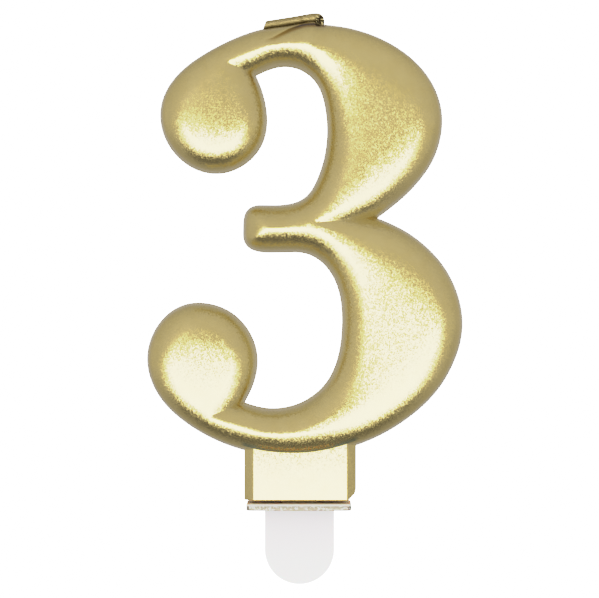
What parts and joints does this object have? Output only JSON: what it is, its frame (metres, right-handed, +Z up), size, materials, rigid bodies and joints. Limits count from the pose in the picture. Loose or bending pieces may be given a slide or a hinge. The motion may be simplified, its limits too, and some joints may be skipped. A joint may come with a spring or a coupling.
{
  "type": "number birthday candle",
  "caption": "Metallic gold cast-wax numeral candle with bevelled strokes, a short plinth, a folded wick and a push-in plastic pick.",
  "frame": {"origin": "centre of the underside of the pick's collar, where the collar rests on the cake", "axes": "+Z up, opposite to the way the pick goes into the cake; +X to the right of someone reading the numeral; -Y towards that reader"},
  "size_m": [0.053, 0.012, 0.096],
  "materials": {
    "gold_wax": "wax sprayed with satin metallic gold, fine flake",
    "wick_cotton": "cotton cord coated in the same gold spray",
    "pick_plastic": "milky translucent moulding, smooth, gold overspray on the collar's edge"
  },
  "bodies": {
    "pick": {"pick": "pick_plastic"},
    "candle": {"candle_body": "gold_wax", "wick_stem": "wick_cotton"},
    "tail": {"wick_tail": "wick_cotton"}
  },
  "joints": [
    {"name": "candle_lift", "type": "slide", "parent": "pick", "child": "candle", "axis": [0, 0, 1], "range_m": [0, 0.012]},
    {"name": "wick_fold", "type": "hinge", "parent": "candle", "child": "tail", "pos_m": [0.00305, 0, 0.08262], "axis": [0, 1, 0], "range_deg": [0, 95]}
  ]
}
